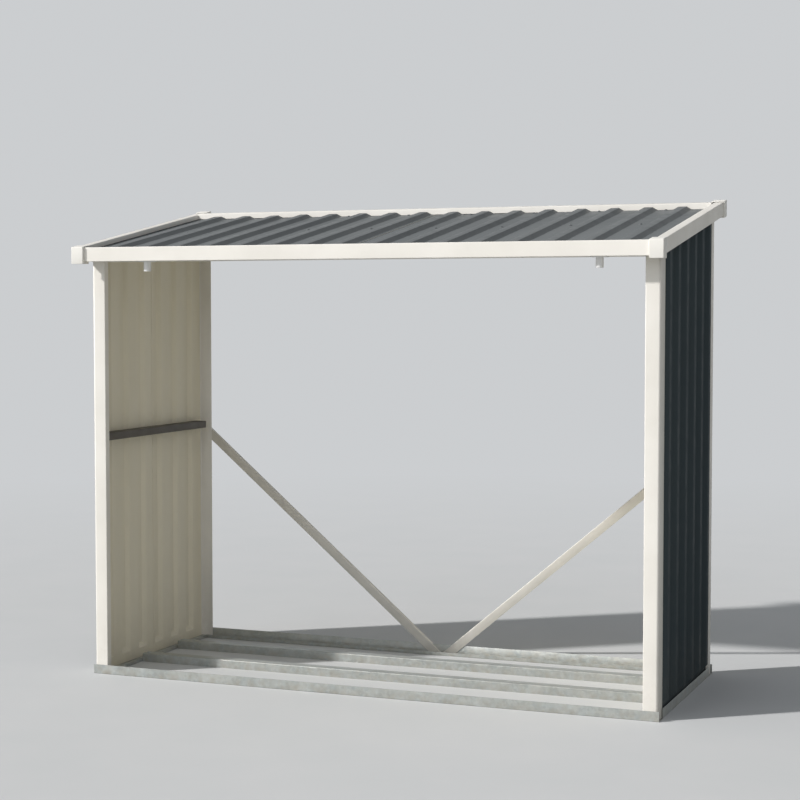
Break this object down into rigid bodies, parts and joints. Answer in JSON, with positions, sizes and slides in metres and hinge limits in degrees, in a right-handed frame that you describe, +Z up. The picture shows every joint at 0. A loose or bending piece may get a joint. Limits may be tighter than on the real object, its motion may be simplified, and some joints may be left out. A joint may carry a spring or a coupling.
{
  "type": "log store",
  "caption": "Open-fronted metal log store with ribbed end walls, a single-pitch ribbed roof, gutter, corner caps and braced open back.",
  "frame": {"origin": "on the ground, in the middle of the overall length and depth", "axes": "+X along the store to the right seen from the open front, +Y from front to back, +Z up"},
  "size_m": [1.944, 0.889, 1.5593],
  "materials": {
    "pale_frame": "satin off-white coating",
    "pale_plastic": "moulded, satin",
    "roof_sheet": "satin dark grey coating",
    "wall_sheet": "satin dark grey outside, pale coating inside",
    "galvanised_rail": "dull galvanised",
    "dark_rail": "satin dark coating"
  },
  "bodies": {
    "root": {"base_front_rail": "galvanised_rail", "base_left_rail": "galvanised_rail", "base_middle_rail_front": "galvanised_rail", "base_middle_rail_rear": "galvanised_rail", "base_rear_rail": "galvanised_rail", "base_right_rail": "galvanised_rail", "cap_front_left": "pale_plastic", "cap_front_right": "pale_plastic", "cap_rear_left": "pale_plastic", "cap_rear_right": "pale_plastic", "gutter_channel": "pale_frame", "gutter_front": "pale_frame", "gutter_outlet_left": "pale_plastic", "gutter_outlet_right": "pale_plastic", "header_front": "pale_frame", "header_rear": "pale_frame", "mid_rail_left": "dark_rail", "mid_rail_right": "dark_rail", "post_front_left": "pale_frame", "post_front_right": "pale_frame", "post_rear_left": "pale_frame", "post_rear_right": "pale_frame", "rear_brace_left": "pale_frame", "rear_brace_right": "pale_frame", "roof_purlin": "pale_frame", "roof_sheet_1": "roof_sheet", "roof_sheet_2": "roof_sheet", "roof_sheet_3": "roof_sheet", "roof_sheet_4": "roof_sheet", "roof_trim_left": "pale_frame", "roof_trim_rear": "pale_frame", "roof_trim_right": "pale_frame", "top_rail_left": "pale_frame", "top_rail_right": "pale_frame", "wall_left_front_sheet": "wall_sheet", "wall_left_rear_sheet": "wall_sheet", "wall_right_front_sheet": "wall_sheet", "wall_right_rear_sheet": "wall_sheet"}
  },
  "joints": []
}
